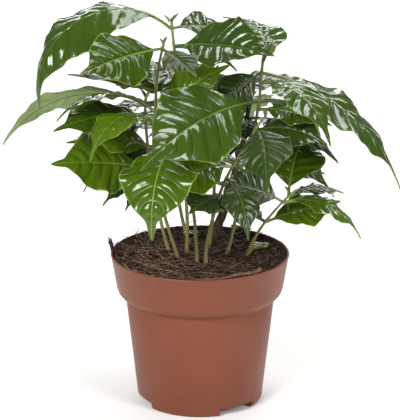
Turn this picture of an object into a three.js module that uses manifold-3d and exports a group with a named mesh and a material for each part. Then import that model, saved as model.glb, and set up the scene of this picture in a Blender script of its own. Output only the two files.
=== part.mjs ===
// A potted coffee plant: a clump of ten seedlings in a round nursery pot filled with coir.
// Millimetres, +Z up, the front of the plant at -Y. The origin is the middle of the pot's underside.
import * as THREE from "three";
import { mergeVertices } from "three/addons/utils/BufferGeometryUtils.js";
import Module from "manifold-3d";

const wasm = await Module();
wasm.setup();

// Pot
const POT_HEIGHT = 103;
const RIM_RADIUS = 60;
const COLLAR_HEIGHT = 25;
const COLLAR_FOOT_RADIUS = 56;
const SHOULDER_HEIGHT = 7.5; // the slope from the collar in to the wall
const WALL_TOP_RADIUS = 50;
const BASE_RADIUS = 42.5;
const BASE_ROUND = 2;
const WALL = 1.2;
const FLOOR = 1.5;
const POT_SIDES = 48;
const NOTCH = { turns: [-53, 74, 201], span: 38, height: 5, inner: 33, hole: 3.5 }; // turns from +X

// Coir
const GAP = 0.3; // between pieces that rest on each other
const SOIL_TOP = 98;
const SOIL_EDGE = 100.5; // the coir is heaped against the wall
const SOIL_FLAT_RADIUS = 46;

// Stems
const STEM_SIDES = 6;
const STEM_STEP = 18;
const STEM_FOOT_RADIUS = 1.7;
const STEM_TIP_RADIUS = 1.2;
const ROOT_FLARE = 0.6; // share that the foot is wider by
const ROOT_FLARE_HEIGHT = 5;
const BARE_BELOW_LEAVES = 7; // a stem ends this far under its lowest leaf
const BUD_LENGTH = 3;
const BUD_SHARE = 0.4; // the bud's end over the stem's tip

// Leaves
const LEAF_STEPS = 11;
const LEAF_SUBSTEPS = 5;
const LEAF_SHARE_WIDE = [0.43, 0.02]; // width over length, middle value and spread
const LEAF_SHARE_THICK = 0.014;
const LEAF_TWIST = [0, 22]; // degrees at the tip, middle value and spread
const PETIOLE_SHARE = 0.1;
const PETIOLE_HALF_WIDTH = 0.9;
const WIDEST_BEND = 0.88; // under 1 moves the widest place towards the leaf's foot
const BODY_END = 0.87; // where the broad blade ends and the drip tip goes on
const DRIP_TIP_WIDE = 0.26;
const DRIP_TIP_TAPER = 0.6;
const WAVES = 3.5;
const WAVE_SHARE = 0.09; // height of the margin's waves over the leaf's half width

// Spacing of the leaves
const LEAF_CLEARANCE = 4;
const STEM_CLEARANCE = 4.5;
const PROBE_STEPS = 16; // points along a leaf at which its clearance is tested
const PROBE_SIDES = [-1, -0.67, -0.33, 0, 0.33, 0.67, 1];
const PROBES_FROM = 0.06; // share of a leaf nearest to its stem that isn't tested
const OWN_PROBES_FROM = 0.3; // the same among leaves of one seedling
const STEM_PROBE_STEP = 4;
const CROWN = { x: 0, y: 24, radius: 95 }; // grown leaves stay within this upright cylinder
const SEED = 12;

const degrees = THREE.MathUtils.degToRad;

// One leaf as it grows from its node: compass turn from +X, rise of its first stretch and droop along its
// length in degrees, and its length. Further: roll about the midrib, fold of each half up from the midrib,
// sideways sweep, all in degrees, and a factor on the usual width.
const leaf = (turn, rise, droop, length, further = {}) => ({
  turn,
  rise,
  droop,
  length,
  roll: 0,
  fold: -5,
  sweep: 0,
  slim: 1,
  ...further,
});

// Each seedling: where its stem leaves the coir, its tip, how far the stem bows at half height, and its
// nodes from the top down. A node with one leaf gets the opposite one by the growing rule.
const SEEDLINGS = [
  {
    name: "centre_tall",
    foot: [-9, 11],
    tip: [-19, 12, 258],
    bow: [3, 3],
    nodes: [
      {
        up: 254,
        leaves: [
          leaf(-165, 44, 146, 136, { roll: -16, fold: -20, slim: 0.8 }),
          leaf(40, 4, 40, 66, { roll: 30 }),
        ],
      },
      { up: 242, leaves: [leaf(-38, 13, 20, 82, { roll: 42, fold: 10 }), leaf(35, -5, 40, 58)] },
    ],
  },
  {
    name: "left_tall",
    foot: [-15, 2],
    tip: [-24, -5, 247],
    bow: [-10, 0],
    nodes: [
      { up: 244, leaves: [leaf(-128, 5, 14, 82, { roll: -46 }), leaf(-60, -8, 14, 46, { roll: 14 })] },
      { up: 216, leaves: [leaf(140, 3, 8, 80, { roll: 20 }), leaf(75, 30, 30, 42)] },
      { up: 202, leaves: [leaf(-2, 38, 14, 58, { roll: 48 }), leaf(-170, 48, 98, 74, { roll: 20 })] },
      { up: 193, leaves: [leaf(-132, 45, 115, 74)] },
      { up: 176, leaves: [leaf(-178, 20, 10, 50, { roll: -35 })] },
    ],
  },
  {
    name: "right_tall",
    foot: [18, 11],
    tip: [42, 6, 237],
    bow: [3, -2],
    nodes: [
      { up: 234, leaves: [leaf(70, 30, 30, 70, { sweep: 90 }), leaf(-70, 65, 10, 22)] },
      {
        up: 226,
        leaves: [
          leaf(-6, -9, 62, 128, { roll: 10, slim: 0.86 }),
          leaf(172, -50, 25, 48, { roll: -70, slim: 1.15 }),
        ],
      },
      { up: 219, leaves: [leaf(-50, 18, 90, 82, { slim: 0.92 })] },
      { up: 206, leaves: [leaf(-129, 8, 36, 124, { roll: -41, slim: 0.94 }), leaf(50, 0, 60, 84)] },
      { up: 201, leaves: [leaf(-26, 12, 30, 54, { roll: 16 })] },
      { up: 186, leaves: [leaf(-30, 22, 50, 56, { roll: 44, slim: 1.1 })] },
    ],
  },
  {
    name: "right_low",
    foot: [32, 7],
    tip: [60, 4, 142],
    bow: [-3.5, 0],
    nodes: [
      { up: 141, leaves: [leaf(74, 66, 70, 62, { slim: 1.3 }), leaf(24, 18, 50, 44)] },
      {
        up: 137,
        leaves: [
          leaf(-8, 18, 84, 64, { roll: 6 }),
          leaf(-172, 34, 30, 50, { roll: -70, slim: 1.15 }),
        ],
      },
      { up: 123, leaves: [leaf(14, 18, 14, 54, { roll: 18, slim: 1.15 }), leaf(140, 10, 20, 42)] },
    ],
  },
  {
    name: "front_left",
    foot: [-2, -6],
    tip: [-20, -16, 184],
    bow: [5, 0],
    nodes: [{ up: 176, leaves: [leaf(-105, 28, 134, 88, { slim: 1.12 })] }],
  },
  {
    name: "front_right",
    foot: [4, -9],
    tip: [42, -14, 200],
    bow: [-9, 0],
    nodes: [
      { up: 192, leaves: [leaf(-80, 14, 70, 74, { roll: 14, fold: -14, sweep: -12 })] },
      { up: 167, leaves: [leaf(-140, 12, 35, 72, { roll: -20, slim: 1.1 })] },
      { up: 158, leaves: [leaf(-68, 0, 90, 54)] },
      { up: 146, leaves: [leaf(-110, 14, 20, 58, { roll: -20 })] },
    ],
  },
  {
    name: "left_back",
    foot: [-21, 19],
    tip: [-36, 16, 206],
    bow: [-5, 3],
    nodes: [
      { up: 203, leaves: [leaf(176, 24, 84, 112, { roll: 28, slim: 0.64 }), leaf(40, 0, 40, 50)] },
      { up: 194, leaves: [leaf(-146, 14, 30, 72, { roll: -28 })] },
      { up: 156, leaves: [leaf(-150, 17, 14, 75, { roll: -43, slim: 1.2 })] },
      { up: 149, leaves: [leaf(-160, 5, 60, 40), leaf(-140, -25, 30, 30)] },
    ],
  },
  {
    name: "middle",
    foot: [6, 24],
    tip: [10, 30, 218],
    bow: [3, 4],
    pairs: { top: 215, count: 6, apart: 12, turn: 85 },
  },
  {
    name: "back_left",
    foot: [-8, 38],
    tip: [-26, 46, 206],
    bow: [-3, 6],
    pairs: { top: 203, count: 7, apart: 10, turn: 110 },
  },
  {
    name: "old_woody",
    foot: [8, 40],
    tip: [34, 48, 196],
    bow: [4, 5],
    footRadius: 3.6,
    pairs: { top: 193, count: 7, apart: 9, turn: 60 },
  },
];

// Growing rule for leaves that no node states: middle value and spread of each
const GROWN = {
  turn: [0, 16],
  rise: [24, 14],
  droop: [66, 22],
  length: [76, 12],
  roll: [0, 16],
  fold: [-5, 10],
  sweep: [0, 20],
};
const SETTLE_STEPS = [6, 12, 20, 30, 40]; // degrees that a leaf is turned by to clear its neighbours
const SETTLE_WAYS = [[0, 1], [0, -1], [1, 0], [-1, 0], [1, 1], [-1, 1], [1, -1], [-1, -1]];

// Repeatable draws from 0 to 1
function seededDraw(seed) {
  let state = seed;
  return () => {
    state = (state * 1664525 + 1013904223) % 4294967296;
    return state / 4294967296;
  };
}
const draw = seededDraw(SEED);
const spread = ([middle, reach]) => middle + reach * (2 * draw() - 1);

// A closed three.js geometry as a solid, with shared corners merged and collapsed faces dropped
function solid(geometry) {
  const bare = geometry.clone();
  bare.deleteAttribute("normal");
  bare.deleteAttribute("uv");
  const merged = mergeVertices(bare, 1e-4);
  const kept = [];
  const index = merged.index.array;
  for (let i = 0; i < index.length; i += 3) {
    const [a, b, c] = index.slice(i, i + 3);
    if (a !== b && b !== c && c !== a) kept.push(a, b, c);
  }
  return new wasm.Manifold(
    new wasm.Mesh({
      numProp: 3,
      vertProperties: new Float32Array(merged.attributes.position.array),
      triVerts: new Uint32Array(kept),
    }),
  );
}

function meshOf(body, name, material) {
  const made = body.getMesh();
  const geometry = new THREE.BufferGeometry();
  geometry.setAttribute("position", new THREE.BufferAttribute(made.vertProperties, 3));
  geometry.setIndex(new THREE.BufferAttribute(made.triVerts, 1));
  geometry.computeVertexNormals();
  const mesh = new THREE.Mesh(geometry, material);
  mesh.name = name;
  return mesh;
}

// Pot and coir

// The pot's outline from the axis at the floor to the axis at the top, inset from the outer face
function potOutline(inset, floor, top) {
  const collarFoot = POT_HEIGHT - COLLAR_HEIGHT + inset / 2;
  const shoulderFoot = collarFoot - SHOULDER_HEIGHT;
  const collarLean = (RIM_RADIUS - COLLAR_FOOT_RADIUS) / COLLAR_HEIGHT;
  return [
    [0, floor],
    [BASE_RADIUS - BASE_ROUND - inset, floor],
    [BASE_RADIUS - inset, floor + BASE_ROUND],
    [WALL_TOP_RADIUS - inset, shoulderFoot],
    [COLLAR_FOOT_RADIUS - inset, collarFoot],
    [COLLAR_FOOT_RADIUS - inset + collarLean * (top - collarFoot), top],
  ];
}

function turned(outline) {
  const points = outline.map(([r, z]) => new THREE.Vector2(r, z));
  return solid(new THREE.LatheGeometry(points, POT_SIDES).rotateX(Math.PI / 2));
}

// The three drain notches under the base's edge, each grown by the same amount on every side
function notches(grow) {
  const inner = NOTCH.inner - grow;
  const half = degrees(NOTCH.span / 2) + grow / BASE_RADIUS;
  const sector = new THREE.Shape();
  sector.absarc(0, 0, RIM_RADIUS, -half, half, false);
  sector.absarc(0, 0, inner, half, -half, true);
  const depth = NOTCH.height + grow + 1;
  const prism = new THREE.ExtrudeGeometry(sector, { depth, bevelEnabled: false, curveSegments: 5 });
  prism.translate(0, 0, -1);
  let all = null;
  for (const turn of NOTCH.turns) {
    const one = solid(prism.clone().rotateZ(degrees(turn)));
    all = all ? all.add(one) : one;
  }
  return all;
}

function drainHoles() {
  const middle = (NOTCH.inner + BASE_RADIUS) / 2;
  const drill = new THREE.CylinderGeometry(NOTCH.hole, NOTCH.hole, 4 * WALL, 12);
  drill.rotateX(Math.PI / 2).translate(middle, 0, NOTCH.height + WALL / 2);
  let all = null;
  for (const turn of NOTCH.turns) {
    const one = solid(drill.clone().rotateZ(degrees(turn)));
    all = all ? all.add(one) : one;
  }
  return all;
}

function potSolid() {
  const axisTop = [0, POT_HEIGHT];
  const outside = turned([...potOutline(0, 0, POT_HEIGHT), axisTop]).subtract(notches(0));
  const insideTop = POT_HEIGHT + 1;
  const inside = turned([...potOutline(WALL, FLOOR, insideTop), [0, insideTop]]).subtract(notches(WALL));
  return outside.subtract(inside).subtract(drainHoles());
}

function soilSolid() {
  const outline = potOutline(WALL + GAP, FLOOR + GAP, SOIL_EDGE);
  return turned([...outline, [SOIL_FLAT_RADIUS, SOIL_TOP], [0, SOIL_TOP]]).subtract(notches(WALL + GAP));
}

// Stems

// The place on a seedling's stem at a height: a parabola from foot to tip, bowed at its middle
function stemPlace(seedling, up) {
  const { foot, tip, bow } = seedling;
  const t = (up - SOIL_TOP) / (tip[2] - SOIL_TOP);
  const bowed = 4 * t * (1 - t);
  return new THREE.Vector3(
    foot[0] + (tip[0] - foot[0]) * t + bow[0] * bowed,
    foot[1] + (tip[1] - foot[1]) * t + bow[1] * bowed,
    up,
  );
}

function stemRadius(seedling, up) {
  const t = (up - SOIL_TOP) / (seedling.tip[2] - SOIL_TOP);
  const footRadius = seedling.footRadius ?? STEM_FOOT_RADIUS;
  const flare = 1 + ROOT_FLARE * Math.exp(-(up - SOIL_TOP) / ROOT_FLARE_HEIGHT);
  return (footRadius + (STEM_TIP_RADIUS - footRadius) * t) * flare;
}

// A stretch of a stem between two heights, with level cuts, narrowed at the top by a share
function stemSolid(seedling, from, to, topShare = 1) {
  const steps = Math.max(2, Math.ceil((to - from) / STEM_STEP));
  const tube = new THREE.CylinderGeometry(1, 1, 1, STEM_SIDES, steps).rotateX(Math.PI / 2);
  const place = tube.attributes.position;
  for (let i = 0; i < place.count; i++) {
    const along = place.getZ(i) + 0.5;
    const up = from + (to - from) * along;
    const centre = stemPlace(seedling, up);
    const radius = stemRadius(seedling, up) * (1 + (topShare - 1) * along);
    place.setXYZ(i, centre.x + radius * place.getX(i), centre.y + radius * place.getY(i), up);
  }
  return solid(tube);
}

// Leaves

// Half width along the leaf, as a share of the widest: petiole, broad blade, drip tip
function leafOutline(along) {
  const q = Math.max(0, (along - PETIOLE_SHARE) / (1 - PETIOLE_SHARE));
  const body = q < BODY_END ? Math.sin(Math.PI * (q / BODY_END) ** WIDEST_BEND) : 0;
  const dripTip = q > 0.5 ? DRIP_TIP_WIDE * (1 - q) ** DRIP_TIP_TAPER : 0;
  return (body ** 4 + dripTip ** 4) ** 0.25;
}

// Stations along the midrib: place, direction across the blade and direction out of its upper face
function stationsOf(one, steps) {
  const stations = [];
  const place = one.base.clone();
  const pieces = steps * LEAF_SUBSTEPS;
  for (let i = 0; i <= pieces; i++) {
    const s = i / pieces;
    const rise = degrees(one.rise - one.droop * s);
    const turn = degrees(one.turn + one.sweep * s);
    const roll = degrees(one.roll + one.twist * s * s);
    const ahead = new THREE.Vector3(
      Math.cos(rise) * Math.cos(turn),
      Math.cos(rise) * Math.sin(turn),
      Math.sin(rise),
    );
    const level = new THREE.Vector3(-Math.sin(turn), Math.cos(turn), 0);
    const upper = ahead.clone().cross(level);
    const across = level.clone().multiplyScalar(Math.cos(roll)).addScaledVector(upper, Math.sin(roll));
    const out = upper.clone().multiplyScalar(Math.cos(roll)).addScaledVector(level, -Math.sin(roll));
    if (i % LEAF_SUBSTEPS === 0) stations.push({ s, place: place.clone(), across, out });
    place.addScaledVector(ahead, one.length / pieces);
  }
  return stations;
}

// A point of the blade: side runs from -1 to 1 across it
function bladePoint(one, station, side) {
  const half = Math.max(PETIOLE_HALF_WIDTH, (one.wide / 2) * leafOutline(station.s));
  const blade = Math.max(0, half - PETIOLE_HALF_WIDTH);
  const phase = side > 0 ? one.waves[0] : one.waves[1];
  const wave = WAVE_SHARE * blade * Math.sin(2 * Math.PI * (WAVES * station.s + phase)) * side * side;
  const stand = blade * Math.abs(side) * Math.sin(degrees(one.fold)) + wave;
  return station.place
    .clone()
    .addScaledVector(station.across, half * side * Math.cos(degrees(one.fold)))
    .addScaledVector(station.out, stand);
}

// Splits the upper and lower face of each half blade along the same diagonals, so that they keep apart
// where the margin waves. The faces of one of the blade's four sides follow each other in the index.
function splitAlike(blade) {
  const index = blade.index.array;
  const side = 6 * LEAF_STEPS;
  for (const start of [side, 3 * side]) {
    for (let i = start; i < start + side; i += 6) {
      const [a, b, d, , c] = index.slice(i, i + 6);
      index.set([a, b, c, a, c, d], i);
    }
  }
}

// A leaf as a four-edged blade: two margins, the midrib's upper edge and its lower one
function leafSolid(one) {
  const stations = stationsOf(one, LEAF_STEPS);
  const halfThick = Math.max(PETIOLE_HALF_WIDTH, (LEAF_SHARE_THICK * one.length) / 2);
  const blade = new THREE.CylinderGeometry(1, 1, 1, 4, LEAF_STEPS);
  const place = blade.attributes.position;
  for (let i = 0; i < place.count; i++) {
    const station = stations[Math.round((place.getY(i) + 0.5) * LEAF_STEPS)];
    const tipShare = station.s === 1 ? 0.3 : 1;
    const point = bladePoint(one, station, -place.getX(i) * tipShare);
    point.addScaledVector(station.out, place.getZ(i) * halfThick * tipShare);
    place.setXYZ(i, point.x, point.y, point.z);
  }
  splitAlike(blade);
  return solid(blade);
}

// Points spread over a leaf, for keeping leaves apart: all of them, and those away from the leaf's foot
function probesOf(one) {
  const all = [];
  const far = [];
  for (const station of stationsOf(one, PROBE_STEPS)) {
    if (station.s < PROBES_FROM) continue;
    const row = PROBE_SIDES.map((side) => bladePoint(one, station, side));
    all.push(...row);
    if (station.s > OWN_PROBES_FROM) far.push(...row);
  }
  return { all, far };
}

const nearest = (points, others) =>
  points.reduce((least, p) => others.reduce((d, o) => Math.min(d, p.distanceToSquared(o)), least), Infinity);

const inCrown = (p) => Math.hypot(p.x - CROWN.x, p.y - CROWN.y) < CROWN.radius;

// True where a leaf keeps clear of every other leaf, of every stem and of the pot
function isClear(one, placed, stems) {
  const { all, far } = one.probes;
  if (Math.min(...all.map((p) => p.z)) < POT_HEIGHT + LEAF_CLEARANCE) return false;
  if (one.order > 0 && !all.every(inCrown)) return false;
  const keeps = (other, part, gap) =>
    nearest(other.seedling === one.seedling ? far : all, other.probes[part]) > gap * gap;
  return (
    placed.every((other) => keeps(other, other.seedling === one.seedling ? "far" : "all", LEAF_CLEARANCE)) &&
    stems.every((stem) => keeps(stem, "all", STEM_CLEARANCE))
  );
}

// Turns and lifts a leaf by small steps until it is clear; null where no step clears it
function settled(one, placed, stems) {
  const tries = [[0, 0]];
  for (const step of SETTLE_STEPS) {
    for (const [aside, lift] of SETTLE_WAYS) tries.push([aside * step, (lift * step) / 2]);
  }
  for (const [aside, lift] of tries) {
    const moved = { ...one, turn: one.turn + aside, rise: one.rise + lift };
    moved.probes = probesOf(moved);
    if (isClear(moved, placed, stems)) return moved;
  }
  return null;
}

// Adds what every leaf has: its foot on the stem, width, twist and the phase of each margin's waves
function finishedLeaf(seedling, up, stated, order) {
  return {
    ...stated,
    seedling: seedling.name,
    order,
    base: stemPlace(seedling, up),
    wide: stated.length * stated.slim * spread(LEAF_SHARE_WIDE),
    twist: spread(LEAF_TWIST),
    waves: [draw(), draw()],
  };
}

function grownLeaf(turn) {
  const aside = spread(GROWN.turn);
  const further = { roll: spread(GROWN.roll), fold: spread(GROWN.fold), sweep: spread(GROWN.sweep) };
  return leaf(turn + aside, spread(GROWN.rise), spread(GROWN.droop), spread(GROWN.length), further);
}

// All leaves: first those that a node states, then the opposite and further ones by the growing rule
function growLeaves() {
  const stems = SEEDLINGS.map((seedling) => {
    const all = [];
    const top = seedling.tip[2] + BUD_LENGTH;
    for (let up = SOIL_TOP; up <= top; up += STEM_PROBE_STEP) all.push(stemPlace(seedling, up));
    return { seedling: seedling.name, probes: { all } };
  });
  const wanted = [];
  for (const seedling of SEEDLINGS) {
    for (const { up, leaves } of seedling.nodes ?? []) {
      for (const stated of leaves) wanted.push(finishedLeaf(seedling, up, stated, 0));
    }
  }
  for (const seedling of SEEDLINGS) {
    for (const { up, leaves } of seedling.nodes ?? []) {
      if (leaves.length === 1) wanted.push(finishedLeaf(seedling, up, grownLeaf(leaves[0].turn + 180), 1));
    }
    const { top, count, apart, turn } = seedling.pairs ?? { count: 0 };
    for (let i = 0; i < count; i++) {
      for (const half of [0, 180]) {
        wanted.push(finishedLeaf(seedling, top - i * apart, grownLeaf(turn + 90 * i + half), 1));
      }
    }
  }
  wanted.sort((a, b) => a.order - b.order || b.length - a.length);
  const placed = [];
  for (const one of wanted) {
    const kept = settled(one, placed, stems);
    if (kept) placed.push(kept);
  }
  return placed;
}

// Assembly

const materials = {
  pot: new THREE.MeshStandardMaterial({ color: 0x9a5b47, roughness: 0.55, metalness: 0 }),
  coir: new THREE.MeshStandardMaterial({ color: 0x3b2a1f, roughness: 1, metalness: 0 }),
  stem: new THREE.MeshStandardMaterial({ color: 0x85854f, roughness: 0.6, metalness: 0 }),
  wood: new THREE.MeshStandardMaterial({ color: 0x5d4638, roughness: 0.8, metalness: 0 }),
  leaf: new THREE.MeshStandardMaterial({ color: 0x3d6a1c, roughness: 0.3, metalness: 0 }),
};

const plant = new THREE.Group();
plant.add(meshOf(potSolid(), "pot", materials.pot));
plant.add(meshOf(soilSolid(), "coir", materials.coir));

const leaves = growLeaves();
for (const seedling of SEEDLINGS) {
  const own = leaves.filter((one) => one.seedling === seedling.name);
  const lowestLeaf = Math.min(...own.map((one) => one.base.z));
  const split = lowestLeaf - BARE_BELOW_LEAVES;
  const bark = seedling.footRadius ? materials.wood : materials.stem;
  plant.add(meshOf(stemSolid(seedling, SOIL_TOP + GAP, split), "stem_" + seedling.name, bark));
  let mass = stemSolid(seedling, split + GAP, seedling.tip[2] + BUD_LENGTH, BUD_SHARE);
  for (const one of own) mass = mass.add(leafSolid(one));
  plant.add(meshOf(mass, "leaves_" + seedling.name, materials.leaf));
}

export default plant;
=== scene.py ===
# Potted coffee plant: ten seedlings with glossy quilted leaves in a terracotta coloured nursery pot of coir.
# The CAD solids give every place. Sizes below are in millimetres unless a line says otherwise.
import math

import bpy
import numpy as np
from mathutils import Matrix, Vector
from mathutils.bvhtree import BVHTree


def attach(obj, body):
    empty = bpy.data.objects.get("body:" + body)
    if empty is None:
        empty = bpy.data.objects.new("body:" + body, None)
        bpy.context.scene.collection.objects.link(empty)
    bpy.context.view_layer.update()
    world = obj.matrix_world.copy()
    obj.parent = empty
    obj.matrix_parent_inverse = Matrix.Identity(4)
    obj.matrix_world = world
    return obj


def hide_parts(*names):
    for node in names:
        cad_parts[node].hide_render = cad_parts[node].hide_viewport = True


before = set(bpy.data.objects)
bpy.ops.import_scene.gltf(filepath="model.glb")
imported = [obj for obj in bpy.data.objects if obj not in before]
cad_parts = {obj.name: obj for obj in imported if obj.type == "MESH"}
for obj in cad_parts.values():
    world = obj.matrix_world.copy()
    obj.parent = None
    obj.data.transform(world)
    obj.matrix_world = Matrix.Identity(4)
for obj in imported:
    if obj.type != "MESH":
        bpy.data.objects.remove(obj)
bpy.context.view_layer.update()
mm = 0.001
print("frame loaded,", len(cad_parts), "nodes")


# Working helpers

def deselectAll():
    if bpy.context.mode != "OBJECT":
        bpy.ops.object.mode_set(mode="OBJECT")
    bpy.ops.object.select_all(action="DESELECT")


def makeActive(piece):
    deselectAll()
    piece.select_set(True)
    bpy.context.view_layer.objects.active = piece


def editAll(piece):
    makeActive(piece)
    bpy.ops.object.mode_set(mode="EDIT")
    bpy.ops.mesh.select_all(action="SELECT")


def applyModifiers(piece):
    makeActive(piece)
    for modifier in list(piece.modifiers):
        bpy.ops.object.modifier_apply(modifier=modifier.name)


def pointsOf(piece):
    flat = np.empty(3 * len(piece.data.vertices))
    piece.data.vertices.foreach_get("co", flat)
    return flat.reshape(-1, 3)


def setPoints(piece, points):
    piece.data.vertices.foreach_set("co", np.ravel(points))
    piece.data.update()


def lerp(ends, share):
    return ends[0] + (ends[1] - ends[0]) * share


def faceOutwards(piece):
    editAll(piece)
    bpy.ops.mesh.normals_make_consistent()
    bpy.ops.object.mode_set(mode="OBJECT")


# A disc walked along an outline of (radius, height), as a lathe would; the last ring stays selected
def turnedPiece(outline, sides):
    deselectAll()
    bpy.ops.mesh.primitive_circle_add(
        vertices=sides, radius=outline[0][0] * mm, fill_type="NGON", location=(0, 0, outline[0][1] * mm),
    )
    bpy.ops.object.transform_apply()
    piece = bpy.context.object
    editAll(piece)
    for (radius, height), (nextRadius, nextHeight) in zip(outline, outline[1:]):
        move = {"value": (0, 0, (nextHeight - height) * mm)}
        bpy.ops.mesh.extrude_region_move(TRANSFORM_OT_translate=move)
        wider = nextRadius / radius
        bpy.ops.transform.resize(value=(wider, wider, 1), center_override=(0, 0, nextHeight * mm))
    return piece


# Many small things in one mesh: points in millimetres, faces, and a material number for each face
def pieceFromArrays(points, faces, materials, kinds):
    mesh = bpy.data.meshes.new("piece")
    mesh.from_pydata((np.asarray(points) * mm).tolist(), [], faces)
    for material in materials:
        mesh.materials.append(material)
    mesh.polygons.foreach_set("material_index", np.asarray(kinds, dtype=np.int32))
    piece = bpy.data.objects.new("piece", mesh)
    bpy.context.scene.collection.objects.link(piece)
    return piece


# Shades a finished piece smooth up to an angle in degrees, gives it its name and hides its nodes
def handOver(piece, name, slot, *nodes, smoothTo):
    makeActive(piece)
    bpy.ops.object.shade_smooth_by_angle(angle=math.radians(smoothTo))
    piece.name = name
    piece.data.name = name
    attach(piece, "root")
    if nodes:
        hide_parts(*nodes)
    print(name, "done,", len(piece.data.polygons), "faces")


# Repeatable draws from 0 to 1, the same as the part's own
def seededDraw(seed):
    state = [seed]
    modulus = 2 ** 32

    def draw():
        state[0] = (state[0] * 1664525 + 1013904223) % modulus
        return state[0] / modulus
    return draw


# Materials

def toLinear(hexColour):
    parts = [int(hexColour[i:i + 2], 16) / 255 for i in (1, 3, 5)]
    return [p / 12.92 if p <= 0.04045 else ((p + 0.055) / 1.055) ** 2.4 for p in parts] + [1]


# Adds a node: settings are values of sockets or properties, links go from (node, output) to a socket
def addNode(material, kind, settings, links):
    node = material.node_tree.nodes.new("ShaderNode" + kind)
    for key, value in settings.items():
        if isinstance(key, int) or key in node.inputs:
            node.inputs[key].default_value = value
        else:
            setattr(node, key, value)
    for key, (source, output) in links.items():
        material.node_tree.links.new(source.outputs[output], node.inputs[key])
    return node


byPlace = {"Vector": ("place", "Object")}  # link of a pattern that stays with its piece


# A material: its shader's settings, rows of nodes (name, kind, settings, links) and the links to the shader.
# These links come from (name of a node, output), and "place" is the piece's own coordinates.
def newMaterial(name, settings, rows=(), links=None):
    material = bpy.data.materials.new(name)
    material.use_nodes = True
    shader = material.node_tree.nodes["Principled BSDF"]
    for socket, value in settings.items():
        shader.inputs[socket].default_value = value
    nodes = {}
    if rows:
        nodes["place"] = addNode(material, "TexCoord", {}, {})
    for node, kind, values, sources in rows:
        found = {socket: (nodes[source], output) for socket, (source, output) in sources.items()}
        nodes[node] = addNode(material, kind, values, found)
    for socket, (node, output) in (links or {}).items():
        material.node_tree.links.new(nodes[node].outputs[output], shader.inputs[socket])
    return material


# Pot

pot = {
    "sides": 128,
    "outside": [
        (40.5, 0), (41.8, 0.6), (42.5, 2), (50.1, 70.8), (49.7, 71.7), (49.9, 72.5),
        (51.1, 73.7), (53.6, 75.2), (55.3, 77.2), (56.3, 80.2), (59.9, 101.9),
    ],
    "rim": [(60.2, 102.4), (60, 102.9), (59.4, 103.05), (58.9, 102.8)],
    "inside": [(58.6, 101), (54.9, 80.6), (48.6, 72.8), (41.3, 7.2), (40.3, 6.4)],
    "notchTurns": [-53, 74, 201],  # degrees from +X
    "notchSpan": 38, "notchRadii": (33, 60), "notchHeights": (-1, 5),
    "holeRadius": 3.5, "holeMiddle": 6, "holeDepth": 6,
    "edgeRound": 0.25, "colours": ("#6c3926", "#75412d"),
    "mottleSize": 22, "scuffSize": 5, "grainSize": 0.7, "grainDepth": 0.12,
}


# Moulded polypropylene, mass coloured terracotta: satin, with a faint flow mottle and a fine mould grain
def mouldedPolypropylene():
    deep, pale = (toLinear(colour) for colour in pot["colours"])
    depth = pot["grainDepth"] * mm
    satin = {"Roughness": 0.42, "IOR": 1.49, "Specular IOR Level": 0.25}
    return newMaterial("moulded polypropylene", satin, [
        ("mottle", "TexNoise", {"Scale": 1 / (pot["mottleSize"] * mm), "Detail": 3}, byPlace),
        ("colour", "Mix", {"data_type": "RGBA", 6: deep, 7: pale}, {0: ("mottle", "Fac")}),
        ("scuff", "TexNoise", {"Scale": 1 / (pot["scuffSize"] * mm), "Detail": 4}, byPlace),
        ("gloss", "MapRange", {"To Min": 0.36, "To Max": 0.5}, {"Value": ("scuff", "Fac")}),
        ("grain", "TexNoise", {"Scale": 1 / (pot["grainSize"] * mm), "Detail": 2}, byPlace),
        ("relief", "Bump", {"Strength": 0.25, "Distance": depth}, {"Height": ("grain", "Fac")}),
    ], {"Base Color": ("colour", 2), "Roughness": ("gloss", "Result"), "Normal": ("relief", "Normal")})


# A block bent to a sector of a ring, which cuts one drain notch under the base's edge
def notchCutter(turn):
    deselectAll()
    bpy.ops.mesh.primitive_cube_add(size=1)
    cutter = bpy.context.object
    editAll(cutter)
    bpy.ops.mesh.subdivide(number_cuts=9)
    bpy.ops.object.mode_set(mode="OBJECT")
    along, aside, up = (pointsOf(cutter) + 0.5).T
    radius = lerp(pot["notchRadii"], along)
    angle = np.radians(turn + pot["notchSpan"] * (aside - 0.5))
    height = lerp(pot["notchHeights"], up)
    setPoints(cutter, np.stack([radius * np.cos(angle), radius * np.sin(angle), height], axis=1) * mm)
    return cutter


def drainDrill(turn):
    deselectAll()
    middle = (pot["notchRadii"][0] + pot["outside"][2][0]) / 2 * mm
    angle = math.radians(turn)
    bpy.ops.mesh.primitive_cylinder_add(
        vertices=40, radius=pot["holeRadius"] * mm, depth=pot["holeDepth"] * mm,
        location=(middle * math.cos(angle), middle * math.sin(angle), pot["holeMiddle"] * mm),
    )
    return bpy.context.object


def makePot():
    piece = turnedPiece(pot["outside"] + pot["rim"] + pot["inside"], pot["sides"])
    faceOutwards(piece)
    for turn in pot["notchTurns"]:
        for cutter in (notchCutter(turn), drainDrill(turn)):
            cut = piece.modifiers.new("drain", "BOOLEAN")
            cut.operation = "DIFFERENCE"
            cut.object = cutter
            applyModifiers(piece)
            bpy.data.objects.remove(cutter)
    rounded = piece.modifiers.new("moulded edges", "BEVEL")
    rounded.width = pot["edgeRound"] * mm
    rounded.segments = 2
    rounded.limit_method = "ANGLE"
    rounded.angle_limit = math.radians(50)
    applyModifiers(piece)
    piece.data.materials.append(mouldedPolypropylene())
    handOver(piece, "pot_shell", "pot", "pot", smoothTo=38)


makePot()


# Coir

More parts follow.
